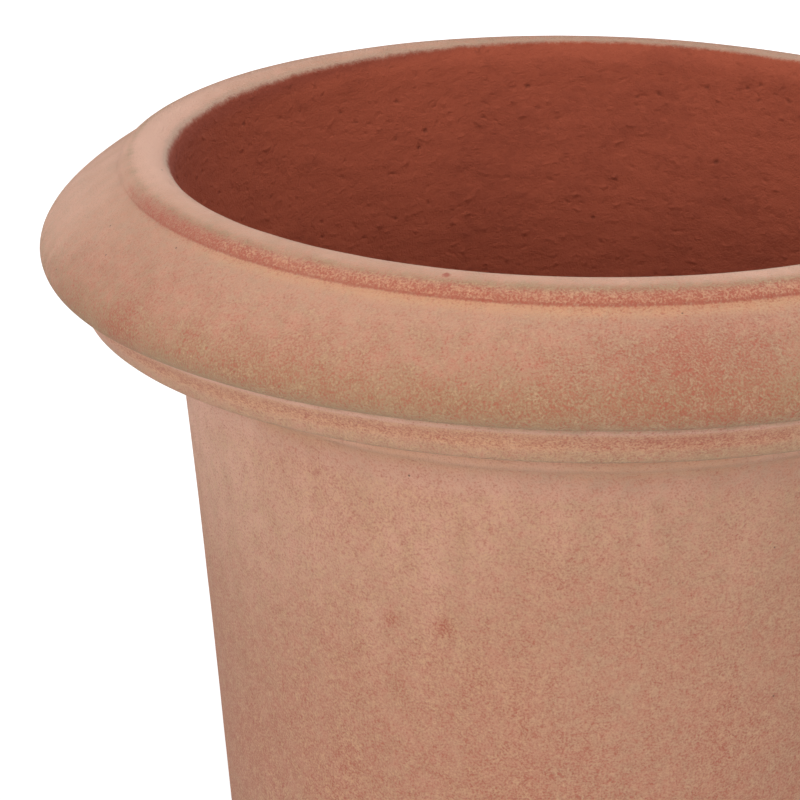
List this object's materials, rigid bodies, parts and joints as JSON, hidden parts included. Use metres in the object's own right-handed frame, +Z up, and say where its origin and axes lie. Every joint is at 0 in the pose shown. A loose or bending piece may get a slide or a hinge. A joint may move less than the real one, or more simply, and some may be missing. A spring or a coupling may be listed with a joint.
{
  "type": "rolled-rim terracotta floor pot",
  "caption": "Tall tapered terracotta floor pot with a raised lip, a heavy rolled rim over a collar and neck bead, and a drain hole closed by a lift-out rubber stopper.",
  "frame": {"origin": "centre of the base, on the plane that the foot ring stands on", "axes": "+Z up along the pot's axis of turning, out of the mouth; the picture looks along +Y and down"},
  "size_m": [0.5, 0.4998, 0.44],
  "materials": {
    "washed_terracotta": "matt fired clay with a pale wash, unglazed, bare red-brown clay inside",
    "stopper_rubber": "moulded, matt, dark grey"
  },
  "bodies": {
    "pot_body": {"pot": "washed_terracotta"},
    "stopper": {"drain_plug": "stopper_rubber"}
  },
  "joints": [
    {"name": "plug_lift", "type": "slide", "parent": "pot_body", "child": "stopper", "axis": [0, 0, 1], "range_m": [0, 0.452]}
  ]
}
